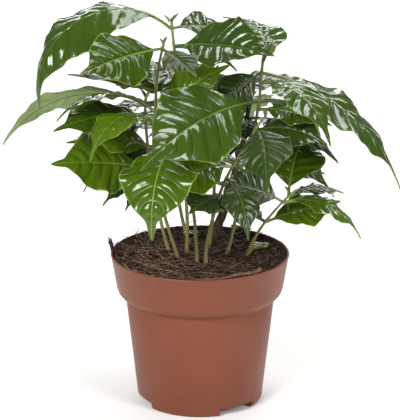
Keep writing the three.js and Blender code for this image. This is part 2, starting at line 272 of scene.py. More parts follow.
coir = {
    "sides": 320,
    "wall": [(40.9, 7.6), (48.2, 73.1), (54.4, 80.9), (58.1, 100.8)],
    "rings": 52,
    "top": 98,
    "topFrom": 94,  # points above this lie on the top
    "edgeLift": 2.8,
    "backLift": 2.6,  # how much higher it is heaped against the back
    "backSlope": (-0.45, 0.55, 0.25),  # growth by x and y, and share at the middle
    "firmEdge": 0.6,  # width along the wall that stays even
    "lumps": [("CLOUDS", 13, 3.4), ("STUCCI", 4, 1.9), ("CLOUDS", 1.3, 1.0)],  # texture, size, height
    "colours": ("#0d0a08", "#281d18"),
    "crumbSize": 2.6, "gritSize": 0.8, "gritDepth": 0.6,
}


# Coir dust: matt brown crumbs between cut husk fibre, almost black where it is damp and shaded
def coirDust():
    damp, dry = (toLinear(colour) for colour in coir["colours"])
    scale = 1 / (coir["crumbSize"] * mm)
    grit = {"Strength": 0.8, "Distance": coir["gritDepth"] * mm}
    return newMaterial("coir dust", {"Roughness": 0.95, "Specular IOR Level": 0.2}, [
        ("crumbs", "TexNoise", {"Scale": scale, "Detail": 6, "Roughness": 0.65}, byPlace),
        ("share", "MapRange", {"From Min": 0.36, "From Max": 0.68}, {"Value": ("crumbs", "Fac")}),
        ("colour", "Mix", {"data_type": "RGBA", 6: damp, 7: dry}, {0: ("share", "Result")}),
        ("grit", "TexNoise", {"Scale": 1 / (coir["gritSize"] * mm), "Detail": 5}, byPlace),
        ("relief", "Bump", grit, {"Height": ("grit", "Fac")}),
    ], {"Base Color": ("colour", 2), "Normal": ("relief", "Normal")})


def coirHeight(radius):
    return coir["top"] + coir["edgeLift"] * (radius / coir["wall"][-1][0]) ** 5


# How much higher the coir is heaped towards the back, for points as shares of the wall's radius
def coirHeap(x, y):
    byX, byY, atMiddle = coir["backSlope"]
    towardsBack = np.clip(byY * y + byX * x + atMiddle, 0, 1)
    return coir["backLift"] * towardsBack * np.clip(np.hypot(x, y), 0, 1) ** 4


def makeCoir():
    edge = coir["wall"][-1][0]
    radii = [edge * (1 - i / coir["rings"]) for i in range(1, coir["rings"])]
    outline = coir["wall"] + [(radius, coirHeight(radius)) for radius in radii]
    piece = turnedPiece(outline, coir["sides"])
    bpy.ops.mesh.merge(type="COLLAPSE")
    faceOutwards(piece)
    points = pointsOf(piece)
    onTop = points[:, 2] > coir["topFrom"] * mm
    heap = coirHeap(points[:, 0] / (edge * mm), points[:, 1] / (edge * mm))
    points[:, 2] += np.where(onTop, heap, 0) * mm
    setPoints(piece, points)
    loose = piece.vertex_groups.new(name="loose top")
    inside = np.hypot(points[:, 0], points[:, 1]) < (edge - coir["firmEdge"]) * mm
    loose.add(np.flatnonzero(inside & onTop).tolist(), 1, "REPLACE")
    for kind, size, height in coir["lumps"]:
        texture = bpy.data.textures.new("coir " + kind.lower(), kind)
        texture.noise_scale = size * mm
        lumps = piece.modifiers.new("lumps", "DISPLACE")
        lumps.texture = texture
        lumps.texture_coords = "LOCAL"
        lumps.direction = "Z"
        lumps.strength = height * mm
        lumps.vertex_group = loose.name
    applyModifiers(piece)
    piece.data.materials.append(coirDust())
    handOver(piece, "coir_top", "coir", "coir", smoothTo=60)
    return piece


coirTop = makeCoir()
coirTree = BVHTree.FromPolygons(
    [tuple(p) for p in pointsOf(coirTop) / mm], [tuple(face.vertices) for face in coirTop.data.polygons],
)


# Height of the coir's surface at a place
def coirAt(x, y):
    hit = coirTree.ray_cast(Vector((x, y, 2 * coir["top"])), Vector((0, 0, -1)))[0]
    return hit.z if hit else coirHeight(math.hypot(x, y))


fibres = {
    "seed": 31, "count": 1300,
    "reach": 56.5,
    "edge": 57.3,  # no end lies further out
    "length": (5, 30), "radius": (0.14, 0.3),
    "steps": 8, "sides": 3,
    "curl": 1.1,  # radians
    "bridging": 0.55,  # how far it spans the hollows, 1 for level
    "over": 0.1,
    "lift": 0.1,  # how steeply an end stands up
    "mostLift": 5,
    "colours": ["#86664f", "#4f3a30", "#271c18"],
    "paleShare": (0.15, 0.6),  # at the right and at the left, more of them pale towards the left
    "darkShare": (0.5, 0.2),
    "tuftFibres": 34,  # in each prong of the tuft
    "tuftFoot": (-54.5, 5, 98),
    "tuftTops": [(-61.5, 2, 112), (-56.5, 0, 109)],
    "tuftRadius": (0.28, 0.5),
}


# Husk fibre: stiff brown hair with a faint dry sheen, pale where it is cut and dry, dark where it is damp
def huskFibre(colour):
    dry = {"Base Color": toLinear(colour), "Roughness": 0.7, "Specular IOR Level": 0.3}
    return newMaterial("husk fibre " + colour[1:], dry)


# Faces of closed tubes, whose points run round each ring, then from ring to ring and tube to tube
def tubeFaces(count, rings, sides):
    faces = []
    for first in range(0, count * rings * sides, rings * sides):
        last = first + (rings - 1) * sides
        for ring in range(first, last, sides):
            for k in range(sides):
                after = (k + 1) % sides
                faces.append((ring + k, ring + after, ring + sides + after, ring + sides + k))
        faces.append(tuple(range(first + sides - 1, first - 1, -1)))
        faces.append(tuple(range(last, last + sides)))
    return faces


def unit(vectors):
    return vectors / (np.linalg.norm(vectors, axis=-1, keepdims=True) + 1e-9)


# Points of thin tubes along paths: an array of (fibre, step, xyz) and a radius for each fibre
def tubesAlong(paths, radii):
    unlikely = np.array([0.13, 0.21, 1.0])  # a direction that no fibre follows
    ahead = unit(np.gradient(paths, axis=1))
    aside = unit(np.cross(ahead, unlikely))
    above = np.cross(aside, ahead)
    taper = np.sin(np.linspace(0.25, math.pi - 0.25, paths.shape[1])) ** 0.4
    thick = radii[:, None, None] * taper[None, :, None]
    corners = []
    for k in range(fibres["sides"]):
        angle = math.tau * k / fibres["sides"]
        corners.append(paths + thick * (aside * math.cos(angle) + above * math.sin(angle)))
    return np.stack(corners, axis=2).reshape(-1, 3)


# Fibres that lie over the coir, some of them with an end standing up
def lyingFibres(chance):
    paths = []
    radii = []
    along = np.linspace(-0.5, 0.5, fibres["steps"] + 1)
    for _ in range(fibres["count"]):
        radius = fibres["reach"] * math.sqrt(chance.random())
        angle = chance.uniform(0, math.tau)
        length = lerp(fibres["length"], chance.random() ** 2)
        heading = chance.uniform(0, math.tau) + chance.normal(0, fibres["curl"]) * along
        x = radius * math.cos(angle) + np.cumsum(np.cos(heading)) * length / fibres["steps"]
        y = radius * math.sin(angle) + np.cumsum(np.sin(heading)) * length / fibres["steps"]
        pull = np.minimum(1, fibres["edge"] / np.maximum(np.hypot(x, y), 1e-6))
        x = x * pull
        y = y * pull
        ground = np.array([coirAt(a, b) for a, b in zip(x, y)])
        height = np.maximum(lerp((ground, ground.mean()), fibres["bridging"]), ground) + fibres["over"]
        lift = chance.exponential(fibres["lift"]) * (along + 0.5) ** 2 * length
        paths.append(np.stack([x, y, height + np.minimum(lift, fibres["mostLift"])], axis=1))
        radii.append(chance.uniform(*fibres["radius"]))
    return np.array(paths), np.array(radii)


# A knobby two-pronged tuft of husk that rises over the rim on the left
def tuftFibres(chance):
    foot = np.array(fibres["tuftFoot"])
    along = np.linspace(0, 1, fibres["steps"] + 1)
    paths = []
    for top in fibres["tuftTops"]:
        for _ in range(fibres["tuftFibres"]):
            reach = chance.uniform(0.7, 1.02)
            winding = chance.uniform(0, math.tau) + 6.5 * along * reach
            wide = (1.1 + 0.6 * np.sin(7 * along)) * chance.uniform(0.3, 1.2)  # knobs
            path = foot + np.outer(along * reach, np.array(top) - foot)
            path[:, 0] += wide * np.cos(winding) - 1.5 * np.sin(math.pi * along) * reach  # bows outwards
            path[:, 1] += 1.5 * wide * np.sin(winding)
            path[:, 2] += 0.9 * wide * np.sin(winding + 1)
            paths.append(path)
    return np.array(paths), chance.uniform(*fibres["tuftRadius"], len(paths))


def makeFibres():
    chance = np.random.default_rng(fibres["seed"])
    lying, lyingRadii = lyingFibres(chance)
    tuft, tuftRadii = tuftFibres(chance)
    points = tubesAlong(np.concatenate([lying, tuft]), np.concatenate([lyingRadii, tuftRadii]))
    faces = tubeFaces(len(lying) + len(tuft), fibres["steps"] + 1, fibres["sides"])
    leftShare = np.clip(0.5 - lying[:, fibres["steps"] // 2, 0] / 90, 0, 1)
    tone = np.where(chance.random(len(lying)) < lerp(fibres["paleShare"], leftShare), 0, 1)
    tone = np.where(chance.random(len(lying)) < lerp(fibres["darkShare"], leftShare), 2, tone)
    tone = np.concatenate([tone, chance.integers(1, 3, len(tuft))])
    kinds = np.repeat(tone, fibres["sides"] * fibres["steps"] + 2)
    materials = [huskFibre(colour) for colour in fibres["colours"]]
    piece = pieceFromArrays(points, faces, materials, kinds)
    handOver(piece, "coir_fibres", "coir", smoothTo=80)


makeFibres()


chips = {
    "seed": 7, "count": 240,
    "reach": 54, "size": (1.2, 4.2), "thick": (0.5, 1.1),
    "corners": 6, "over": 0.4,
    "colours": ["#48321f", "#2b1e16"],
}


# Husk chips: small flat broken bits, each a plate with uneven corners
def makeChips():
    chance = np.random.default_rng(chips["seed"])
    points = []
    corners = chips["corners"]
    evenTurns = np.linspace(0, math.tau, corners, endpoint=False)
    for _ in range(chips["count"]):
        radius = chips["reach"] * math.sqrt(chance.random())
        angle = chance.uniform(0, math.tau)
        centre = np.array([radius * math.cos(angle), radius * math.sin(angle), 0])
        centre[2] = coirAt(*centre[:2]) + chips["over"]
        turns = evenTurns + chance.uniform(-0.3, 0.3, corners)
        size = chance.uniform(*chips["size"])
        reach = size * chance.uniform(0.35, 0.6, corners)
        tilt = chance.normal(0, 0.35, 2)
        heading = chance.uniform(0, math.pi)
        flatX = reach * np.cos(turns)
        flatY = reach * np.sin(turns) * 0.6  # longer than wide
        x = flatX * math.cos(heading) - flatY * math.sin(heading)
        y = flatX * math.sin(heading) + flatY * math.cos(heading)
        lower = centre + np.stack([x, y, tilt[0] * x + tilt[1] * y], axis=1)
        upper = lower + np.array([0, 0, chance.uniform(*chips["thick"])])
        points.extend([*lower, *upper])
    faces = tubeFaces(chips["count"], 2, corners)
    kinds = np.repeat(chance.integers(0, 2, chips["count"]), corners + 2)
    materials = [huskFibre(colour) for colour in chips["colours"]]
    piece = pieceFromArrays(points, faces, materials, kinds)
    faceOutwards(piece)
    handOver(piece, "coir_chips", "coir", smoothTo=30)


makeChips()


# A cylinder of radius and height 1 with its long edges cut into rings
def ringedCylinder(sides, cuts):
    deselectAll()
    bpy.ops.mesh.primitive_cylinder_add(vertices=sides, radius=1, depth=1)
    piece = bpy.context.object
    mesh = piece.data
    for parts in (mesh.vertices, mesh.polygons):
        parts.foreach_set("select", np.zeros(len(parts), dtype=bool))
    for edge in mesh.edges:
        low, high = (mesh.vertices[v].co.z for v in edge.vertices)
        edge.select = abs(high - low) > 0.5
    bpy.context.tool_settings.mesh_select_mode = (False, True, False)  # edges, so only these stay picked
    bpy.ops.object.mode_set(mode="EDIT")
    bpy.ops.mesh.subdivide(number_cuts=cuts)
    bpy.ops.object.mode_set(mode="OBJECT")
    return piece


twig = {
    "sides": 12, "rings": 90,
    "turns": (-92, -45),  # degrees from +X
    "radius": (55.6, 56), "height": (102, 104.2), "thick": (0.6, 1.2),
    "knobs": [0.3, 0.55, 0.78, 0.95], "knobSwell": 0.45,
    "knobLength": 0.018,  # share of the twig
    "colour": "#684633",
}


# A thin knobby twig that lies inside the rim at the front right
def makeTwig():
    piece = ringedCylinder(twig["sides"], twig["rings"])
    x, y, z = pointsOf(piece).T
    share = z + 0.5
    ridges = 0.16 * np.sin(31 * share) * np.sin(3 * np.arctan2(y, x))
    thick = lerp(twig["thick"], share) * (1 + ridges)
    for knob in twig["knobs"]:
        thick *= 1 + twig["knobSwell"] * np.exp(-((share - knob) / twig["knobLength"]) ** 2)
    turn = np.radians(lerp(twig["turns"], share))
    radius = lerp(twig["radius"], share) + 0.7 * np.sin(9 * share) + thick * x
    height = lerp(twig["height"], share) + 0.4 * np.sin(13 * share) + thick * y
    setPoints(piece, np.stack([radius * np.cos(turn), radius * np.sin(turn), height], axis=1) * mm)
    faceOutwards(piece)
    piece.data.materials.append(huskFibre(twig["colour"]))
    handOver(piece, "coir_twig", "coir", smoothTo=60)


makeTwig()


# Seedlings: the part's own rule, so every leaf comes out where its solid is

soilTop = 98
potHeight = 103
budLength = 3

stemRule = {
    "footRadius": 1.7, "tipRadius": 1.2,
    "flare": 0.3, "flareHeight": 4,
    "slender": 0.74,  # the drawn shoot over its faceted solid
}

leafRule = {
    "shareWide": (0.43, 0.02),
    "twist": (0, 22),
    "petioleShare": 0.1, "petioleHalf": 0.9,
    "widestBend": 0.88, "bodyEnd": 0.87,
    "dripWide": 0.26, "dripTaper": 0.6,
    "waves": 3.5, "waveShare": 0.09,
    "substeps": 5,
}

spacing = {
    "leaf": 4, "stem": 4.5,
    "steps": 16,
    "sides": np.array([-1, -0.67, -0.33, 0, 0.33, 0.67, 1]),
    "from": 0.06, "ownFrom": 0.3,
    "stemStep": 4,
    "crown": (0, 24, 95),  # middle x and y, radius
    "turns": [6, 12, 20, 30, 40],
    "ways": [(0, 1), (0, -1), (1, 0), (-1, 0), (1, 1), (-1, 1), (1, -1), (-1, -1)],
}

grownRule = {
    "seed": 12,
    "turn": (0, 16), "rise": (24, 14), "droop": (66, 22), "length": (76, 12),
    "roll": (0, 16), "fold": (-5, 10), "sweep": (0, 20),
}

draw = seededDraw(grownRule["seed"])


def spread(middle, reach):
    return middle + reach * (2 * draw() - 1)


# A leaf: compass turn, rise, droop and length, its tone, and what else differs from a plain one
def leaf(turn, rise, droop, length, tone="mid", **further):
    plain = {"roll": 0, "fold": -5, "sweep": 0, "slim": 1}
    return {"turn": turn, "rise": rise, "droop": droop, "length": length, "tone": tone, **plain, **further}


# A seedling: foot, tip and bow of its stem, its stated leaves by the height of their node, grown pairs as
# (top, count, apart, turn), and small leaves that only the scene draws
def grow(name, foot, tip, bow, nodes=(), pairs=(0, 0, 0, 0), small=(), **further):
    return {
        "name": name, "foot": foot, "tip": tip, "bow": bow, "nodes": nodes, "pairs": pairs, "small": small,
        **further,
    }


seedlings = [
    grow("centre_tall", (-9, 11), (-19, 12, 258), (3, 3), [
        (254, [
            leaf(-165, 44, 146, 136, roll=-16, fold=-20, slim=0.8),
            leaf(40, 4, 40, 66, "mature", roll=30),
        ]),
        (242, [leaf(-38, 13, 20, 82, "mature", roll=42, fold=10), leaf(35, -5, 40, 58, "mature")]),
    ]),
    grow("left_tall", (-15, 2), (-24, -5, 247), (-10, 0), [
        (244, [leaf(-128, 5, 14, 82, "lime", roll=-46), leaf(-60, -8, 14, 46, "dull", roll=14)]),
        (216, [leaf(140, 3, 8, 80, "dull", roll=20), leaf(75, 30, 30, 42, "mature")]),
        (202, [leaf(-2, 38, 14, 58, "young", roll=48), leaf(-170, 48, 98, 74, "mature", roll=20)]),
        (193, [leaf(-132, 45, 115, 74, "young")]),
        (176, [leaf(-178, 20, 10, 50, "young", roll=-35)]),
    ]),
    grow("right_tall", (18, 11), (42, 6, 237), (3, -2), [
        (234, [leaf(70, 30, 30, 70, sweep=90), leaf(-70, 65, 10, 22, "dark")]),
        (226, [
            leaf(-6, -9, 62, 128, roll=10, slim=0.86),
            leaf(172, -50, 25, 48, "dark", roll=-70, slim=1.15),
        ]),
        (219, [leaf(-50, 18, 90, 82, slim=0.92)]),
        (206, [leaf(-129, 8, 36, 124, roll=-41, slim=0.94), leaf(50, 0, 60, 84, "mature")]),
        (201, [leaf(-26, 12, 30, 54, roll=16)]),
        (186, [leaf(-30, 22, 50, 56, "dark", roll=44, slim=1.1)]),
    ], small=[(117, leaf(66, 4, 60, 27, "dull"))]),
    grow("right_low", (32, 7), (60, 4, 142), (-3.5, 0), [
        (141, [leaf(74, 66, 70, 62, "fresh", slim=1.3), leaf(24, 18, 50, 44, "mature")]),
        (137, [
            leaf(-8, 18, 84, 64, "young", roll=6),
            leaf(-172, 34, 30, 50, "dark", roll=-70, slim=1.15),
        ]),
        (123, [leaf(14, 18, 14, 54, "young", roll=18, slim=1.15), leaf(140, 10, 20, 42, "mature")]),
    ], small=[(101, leaf(45, 28, 50, 22, "fresh"))]),
    grow("front_left", (-2, -6), (-20, -16, 184), (5, 0), [
        (176, [leaf(-105, 28, 134, 88, "fresh", slim=1.12)]),
    ]),
    grow("front_right", (4, -9), (42, -14, 200), (-9, 0), [
        (192, [leaf(-80, 14, 70, 74, "dull", roll=14, fold=-14, sweep=-12)]),
        (167, [leaf(-140, 12, 35, 72, "young", roll=-20, slim=1.1)]),
        (158, [leaf(-68, 0, 90, 54, "dark")]),
        (146, [leaf(-110, 14, 20, 58, "dark", roll=-20)]),
    ]),
    grow("left_back", (-21, 19), (-36, 16, 206), (-5, 3), [
        (203, [leaf(176, 24, 84, 112, "mature", roll=28, slim=0.64), leaf(40, 0, 40, 50, "dark")]),
        (194, [leaf(-146, 14, 30, 72, roll=-28)]),
        (156, [leaf(-150, 17, 14, 75, "young", roll=-43, slim=1.2)]),
        (149, [leaf(-160, 5, 60, 40, "dark"), leaf(-140, -25, 30, 30, "dark")]),
    ]),
    grow("middle", (6, 24), (10, 30, 218), (3, 4), pairs=(215, 6, 12, 85), small=[
        (136, leaf(-80, 12, 50, 28, "dark")),
    ]),
    grow("back_left", (-8, 38), (-26, 46, 206), (-3, 6), pairs=(203, 7, 10, 110), small=[
        (105, leaf(-70, 20, 20, 20)),
    ]),
    grow("old_woody", (8, 40), (34, 48, 196), (4, 5), footRadius=3.6, pairs=(193, 7, 9, 60), small=[
        (184, leaf(-95, 10, 60, 34, "dark")),
        (164, leaf(-80, 8, 50, 32, "dark")),
        (142, leaf(-94, 10, 50, 28, "dark")),
    ]),
]


def stemPlace(seedling, up):
    up = np.asarray(up, dtype=float)
    t = (up - soilTop) / (seedling["tip"][2] - soilTop)
    foot, tip, bow = seedling["foot"], seedling["tip"], seedling["bow"]
    bowed = 4 * t * (1 - t)  # 1 at half height
    x = lerp((foot[0], tip[0]), t) + bow[0] * bowed
    y = lerp((foot[1], tip[1]), t) + bow[1] * bowed
    return np.stack([x, y, up], axis=-1)


def stemRadius(seedling, up):
    t = (up - soilTop) / (seedling["tip"][2] - soilTop)
    foot = seedling.get("footRadius", stemRule["footRadius"])
    flare = 1 + stemRule["flare"] * np.exp(-np.maximum(up - soilTop, 0) / stemRule["flareHeight"])
    slender = 1 if "footRadius" in seedling else stemRule["slender"]
    return lerp((foot, stemRule["tipRadius"]), t) * flare * slender


# Half width along a leaf as a share of the widest: petiole, broad blade, drip tip
def leafOutline(s, widestBend, dripWide):
    q = np.clip((s - leafRule["petioleShare"]) / (1 - leafRule["petioleShare"]), 0, 1)
    inBody = np.minimum(q / leafRule["bodyEnd"], 1)
    body = np.sin(np.pi * inBody ** widestBend)
    drip = np.where(q > 0.5, dripWide * (1 - q) ** leafRule["dripTaper"], 0)
    return (np.maximum(body, 0) ** 4 + drip ** 4) ** 0.25


# Stations along the midrib: share, place, direction across the blade and direction out of its upper face
def stationsOf(one, steps):
    pieces = steps * leafRule["substeps"]
    s = np.arange(pieces + 1) / pieces
    rise = np.radians(one["rise"] - one["droop"] * s)
    turn = np.radians(one["turn"] + one["sweep"] * s)
    roll = np.radians(one["roll"] + one["twist"] * s * s)[:, None]
    ahead = np.stack([np.cos(rise) * np.cos(turn), np.cos(rise) * np.sin(turn), np.sin(rise)], axis=1)
    level = np.stack([-np.sin(turn), np.cos(turn), np.zeros_like(turn)], axis=1)
    upper = np.cross(ahead, level)
    across = level * np.cos(roll) + upper * np.sin(roll)
    out = upper * np.cos(roll) - level * np.sin(roll)
    walked = np.concatenate([np.zeros((1, 3)), np.cumsum(ahead[:-1], axis=0)]) * one["length"] / pieces
    kept = slice(None, None, leafRule["substeps"])
    return s[kept], (one["base"] + walked)[kept], across[kept], out[kept]


def probesOf(one):
    s, place, across, out = stationsOf(one, spacing["steps"])
    outline = leafOutline(s, leafRule["widestBend"], leafRule["dripWide"])
    half = np.maximum(leafRule["petioleHalf"], one["wide"] / 2 * outline)[:, None]
    lamina = half - leafRule["petioleHalf"]
    side = spacing["sides"][None, :]
    phase = np.where(side > 0, one["waves"][0], one["waves"][1])
    wave = np.sin(2 * np.pi * (leafRule["waves"] * s[:, None] + phase))
    fold = math.radians(one["fold"])
    stand = lamina * np.abs(side) * math.sin(fold) + leafRule["waveShare"] * lamina * wave * side ** 2
    wideways = half * side * math.cos(fold)
    points = place[:, None] + across[:, None] * wideways[..., None] + out[:, None] * stand[..., None]
    return points[s >= spacing["from"]].reshape(-1, 3), points[s > spacing["ownFrom"]].reshape(-1, 3)


def nearest(points, others):
    squares = (points ** 2).sum(1)[:, None] + (others ** 2).sum(1)[None] - 2 * points @ others.T
    return math.sqrt(max(0, squares.min()))


def isClear(one, placed, stems):
    everywhere, far = one["probes"]
    if everywhere[:, 2].min() < potHeight + spacing["leaf"]:
        return False
    x, y, radius = spacing["crown"]
    if one["order"] > 0 and np.hypot(everywhere[:, 0] - x, everywhere[:, 1] - y).max() >= radius:
        return False
    own = one["seedling"]
    for other in placed:
        same = other["seedling"] == own
        if nearest(far if same else everywhere, other["probes"][1 if same else 0]) <= spacing["leaf"]:
            return False
    gaps = [nearest(far if name == own else everywhere, stem) for name, stem in stems.items()]
    return min(gaps) > spacing["stem"]


# Turns and lifts a leaf by small steps until it is clear; None where no step clears it
def settled(one, placed, stems):
    tries = [(0, 0)] + [(a * step, b * step / 2) for step in spacing["turns"] for a, b in spacing["ways"]]
    for aside, lift in tries:
        moved = {**one, "turn": one["turn"] + aside, "rise": one["rise"] + lift}
        moved["probes"] = probesOf(moved)
        if isClear(moved, placed, stems):
            return moved
    return None


def finishedLeaf(seedling, up, stated, order):
    return {
        **stated,
        "seedling": seedling["name"],
        "order": order,
        "base": stemPlace(seedling, up),
        "wide": stated["length"] * stated["slim"] * spread(*leafRule["shareWide"]),
        "twist": spread(*leafRule["twist"]),
        "waves": (draw(), draw()),
    }


def grownLeaf(turn):
    aside = spread(*grownRule["turn"])
    roll, fold, sweep = (spread(*grownRule[key]) for key in ("roll", "fold", "sweep"))
    rise, droop, length = (spread(*grownRule[key]) for key in ("rise", "droop", "length"))
    return leaf(turn + aside, rise, droop, length, "grown", roll=roll, fold=fold, sweep=sweep)


def growLeaves():
    stems = {}
    for seedling in seedlings:
        heights = np.arange(soilTop, seedling["tip"][2] + budLength + 1e-6, spacing["stemStep"])
        stems[seedling["name"]] = stemPlace(seedling, heights)
    wanted = []
    for seedling in seedlings:
        for up, stated in seedling["nodes"]:
            wanted.extend(finishedLeaf(seedling, up, one, 0) for one in stated)
    for seedling in seedlings:
        for up, stated in seedling["nodes"]:
            if len(stated) == 1:
                wanted.append(finishedLeaf(seedling, up, grownLeaf(stated[0]["turn"] + 180), 1))
        top, count, apart, turn = seedling["pairs"]
        for i in range(count):
            for half in (0, 180):
                wanted.append(finishedLeaf(seedling, top - i * apart, grownLeaf(turn + 90 * i + half), 1))
    wanted.sort(key=lambda one: (one["order"], -one["length"]))
    placed = []
    for one in wanted:
        kept = settled(one, placed, stems)
        if kept:
            placed.append(kept)
    return placed


leaves = growLeaves()
print("leaves grown:", len(leaves))


# Shoots

shoot = {
    "seed": 5, "sides": 18,
    "ringStep": 0.8,
    "mostRings": 100,  # one subdivide cuts no more
    "below": 3,  # how far a shoot starts under the coir's top
    "swell": 0.22, "swellLength": 2.0,
    "scar": 0.09,  # depth of the ring scar under a node
    "scarBelow": 3.1, "scarLength": 0.5,
    "ridge": 0.035, "barkRidge": 0.11,
    "ridges": [(5, 0.11, 0.35, 1), (9, -0.07, 0.9, 0.6)],  # how many, twist, beat along the shoot, weight
    "sway": 0.35,
    "budShare": 0.45,  # the bud's radius over the shoot's
    "skinColours": ("#77733f", "#52622a"),  # at the foot and high up
    "skinHeights": (100, 215),
    "corkColour": "#8e875a",
    "streakSize": 0.9, "streakDepth": 0.15,
    "barkColours": ("#35261f", "#786152"),
    "crackSize": 1.4, "crackDepth": 0.4,
}


# Young coffee stem: smooth green skin that dries to pale tan cork at the foot, with fine lengthwise streaks
def youngStem():
    lower, upper = (toLinear(colour) for colour in shoot["skinColours"])
    low, high = (height * mm for height in shoot["skinHeights"])
    cork = toLinear(shoot["corkColour"])
    corkShare = {"From Min": 0.45, "From Max": 0.75, "To Max": 0.75}
    scale = 1 / (shoot["streakSize"] * mm)
    depth = shoot["streakDepth"] * mm
    return newMaterial("young stem skin", {"Roughness": 0.5, "IOR": 1.45}, [
        ("axes", "SeparateXYZ", {}, {0: ("place", "Object")}),
        ("height", "MapRange", {"From Min": low, "From Max": high}, {"Value": ("axes", "Z")}),
        ("skin", "Mix", {"data_type": "RGBA", 6: lower, 7: upper}, {0: ("height", "Result")}),
        ("drawn", "Mapping", {"Scale": (1, 1, 0.08)}, byPlace),
        ("streaks", "TexNoise", {"Scale": scale, "Detail": 4}, {"Vector": ("drawn", "Vector")}),
        ("share", "MapRange", corkShare, {"Value": ("streaks", "Fac")}),
        ("colour", "Mix", {"data_type": "RGBA", 7: cork}, {0: ("share", "Result"), 6: ("skin", 2)}),
        ("relief", "Bump", {"Strength": 0.5, "Distance": depth}, {"Height": ("streaks", "Fac")}),
    ], {"Base Color": ("colour", 2), "Normal": ("relief", "Normal")})


# Coffee bark: dry grey-brown cork with lengthwise cracks
def corkBark():
    deep, pale = (toLinear(colour) for colour in shoot["barkColours"])
    noise = {"Scale": 1 / (shoot["crackSize"] * mm), "Detail": 6, "Roughness": 0.6}
    depth = shoot["crackDepth"] * mm
    return newMaterial("cork bark", {"Roughness": 0.85, "Specular IOR Level": 0.3}, [
        ("drawn", "Mapping", {"Scale": (1, 1, 0.2)}, byPlace),
        ("cracks", "TexNoise", noise, {"Vector": ("drawn", "Vector")}),
        ("share", "MapRange", {"From Min": 0.35, "From Max": 0.68}, {"Value": ("cracks", "Fac")}),
        ("colour", "Mix", {"data_type": "RGBA", 6: deep, 7: pale}, {0: ("share", "Result")}),
        ("relief", "Bump", {"Strength": 0.8, "Distance": depth}, {"Height": ("cracks", "Fac")}),
    ], {"Base Color": ("colour", 2), "Normal": ("relief", "Normal")})


def makeShoot(seedling, chance):
    woody = "footRadius" in seedling
    low = soilTop - shoot["below"]
    high = seedling["tip"][2] + budLength
    piece = ringedCylinder(shoot["sides"], min(int((high - low) / shoot["ringStep"]), shoot["mostRings"]))
    points = pointsOf(piece)
    up = lerp((low, high), points[:, 2] + 0.5)
    angle = np.arctan2(points[:, 1], points[:, 0])
    radius = stemRadius(seedling, up)
    for node in sorted({float(one["base"][2]) for one in leaves if one["seedling"] == seedling["name"]}):
        over = up - node
        radius *= 1 + shoot["swell"] * np.exp(-(over / shoot["swellLength"]) ** 2)
        radius *= 1 - shoot["scar"] * np.exp(-((over + shoot["scarBelow"]) / shoot["scarLength"]) ** 2)
    phase = chance.uniform(0, math.tau, 4)
    ridge = shoot["barkRidge"] if woody else shoot["ridge"]
    for k, (count, twist, beat, weight) in enumerate(shoot["ridges"]):
        ridged = np.sin(count * angle + twist * up + phase[2 * k]) * np.sin(beat * up + phase[2 * k + 1])
        radius *= 1 + weight * ridge * ridged
    radius *= np.where(up > seedling["tip"][2], shoot["budShare"], 1)
    centre = stemPlace(seedling, np.maximum(up, soilTop))
    centre[:, 0] += shoot["sway"] * np.sin(0.13 * up + phase[0]) + radius * np.cos(angle)
    centre[:, 1] += shoot["sway"] * np.sin(0.11 * up + phase[1]) + radius * np.sin(angle)
    centre[:, 2] = up
    setPoints(piece, centre * mm)
    piece.data.materials.append(bark if woody else skin)
    slot = "bark" if woody else "green_stem"
    handOver(piece, "shoot_" + seedling["name"], slot, "stem_" + seedling["name"], smoothTo=50)


shootChance = np.random.default_rng(shoot["seed"])
skin = youngStem()
bark = corkBark()
for seedling in seedlings:
    makeShoot(seedling, shootChance)


# Leaves

blade = {
    "seed": 3, "stations": 220, "veins": 8,
    "veinFirst": 0.75,  # panels before the first vein
    "veinHalf": 0.0035,  # share of the blade
    "veinArch": 0.17,
    "veinStop": 4,  # columns left plain between the veins and the margin
    "petioleRows": [-0.111, -0.074, -0.037],  # shares of the blade, before its foot
    "petioleEnd": 0.3,  # up to here it is as wide as the petiole at least
    "panelRows": 10, "tipRows": 14,
    "columns": [0.06, 0.14, 0.24, 0.35, 0.46, 0.57, 0.68, 0.78, 0.87, 0.94, 0.968, 1],
    "fuller": 1.16,  # the drawn leaf's width over its solid's
    "widestBend": 1.05,  # widest nearer the middle than the solid
    "dripWide": 0.44,  # fuller than the solid's
    "tipHalf": 0.22,
    "lobes": 0.04,  # slow swelling and narrowing of the outline
    "quilt": (0.022, 0.05),  # bulge between veins over the leaf's width, at foot and tip
    "quiltFoot": 0.08,  # how soon it rises beside the midrib
    "quiltFade": 0.75,  # how much of it is gone at the margin
    "quiltSpread": 0.25, "tipQuilt": 0.4, "crinkle": 0.03,
    "pucker": 0.006,  # small folds within a panel, over the leaf's width
    "folds": [(2.1, 9, 13), (1.3, -21, 19)],  # waves across, slant, waves along
    "ribHalf": (0.8, 0.2),
    "ribMost": 0.6,  # share of the half width
    "ribChannel": 0.3,
    "channelFull": 4,  # half width from which the channel has its full depth
    "ribDepth": (1.5, 0.3),
    "ribSpread": 1.3, "thick": (0.5, 0.3),
    "smallWide": 0.46,  # a small leaf's width over its length
    "grownTones": ["mid", "mature", "mature", "dark"],
    "cellSize": 1.6, "cellDepth": 0.12,
    "foldSize": 6, "foldDepth": 1.2,
}

